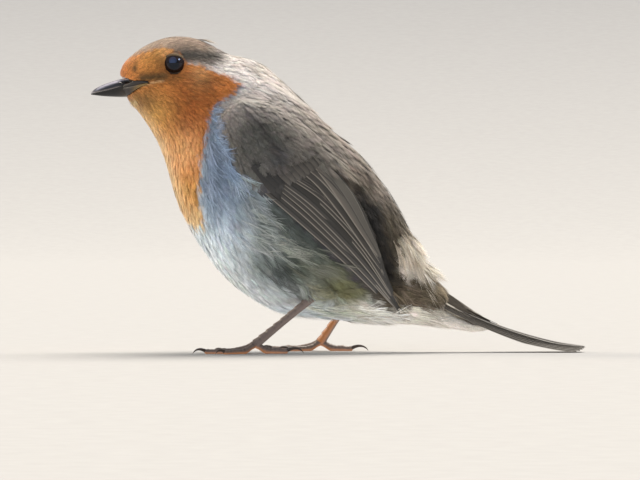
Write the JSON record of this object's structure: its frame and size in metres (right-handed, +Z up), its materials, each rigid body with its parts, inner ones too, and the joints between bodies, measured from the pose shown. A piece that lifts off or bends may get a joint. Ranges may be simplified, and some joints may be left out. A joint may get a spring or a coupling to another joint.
{
  "type": "european robin",
  "caption": "Life-size songbird with an orange face and breast, standing upright with folded wings and its tail laid to the floor.",
  "frame": {"origin": "on the floor, under the middle of the bird's length and width", "axes": "+Z up, -X the way the bird faces, -Y its left side"},
  "size_m": [0.131, 0.0426, 0.0835],
  "materials": {
    "plumage_orange": "soft matt feathers, orange face and breast",
    "plumage_brown": "soft matt feathers, olive brown",
    "plumage_belly": "soft matt feathers, white to pale grey",
    "quills": "firm satin flight feathers, dark brown",
    "bill": "smooth dark horn",
    "eye": "wet, nearly black",
    "legs": "thin brown scaly skin",
    "claws": "dark horn"
  },
  "bodies": {
    "root": {"head": "plumage_orange", "neck": "plumage_orange", "trunk": "plumage_belly", "rump": "plumage_belly", "tail_coverts": "plumage_brown", "undertail_coverts": "plumage_belly", "bill_upper": "bill", "bill_lower": "bill", "eye_left": "eye", "eye_right": "eye", "wing_left_coverts": "plumage_brown", "wing_left_secondaries": "quills", "wing_left_primaries": "quills", "wing_right_coverts": "plumage_brown", "wing_right_secondaries": "quills", "wing_right_primaries": "quills", "tail_centre": "quills", "tail_left": "quills", "tail_right": "quills", "thigh_left": "plumage_belly", "shank_left": "legs", "foot_left": "legs", "claw_left_inner": "claws", "claw_left_middle": "claws", "claw_left_outer": "claws", "claw_left_hind": "claws", "thigh_right": "plumage_belly", "shank_right": "legs", "foot_right": "legs", "claw_right_inner": "claws", "claw_right_middle": "claws", "claw_right_outer": "claws", "claw_right_hind": "claws"}
  },
  "joints": []
}
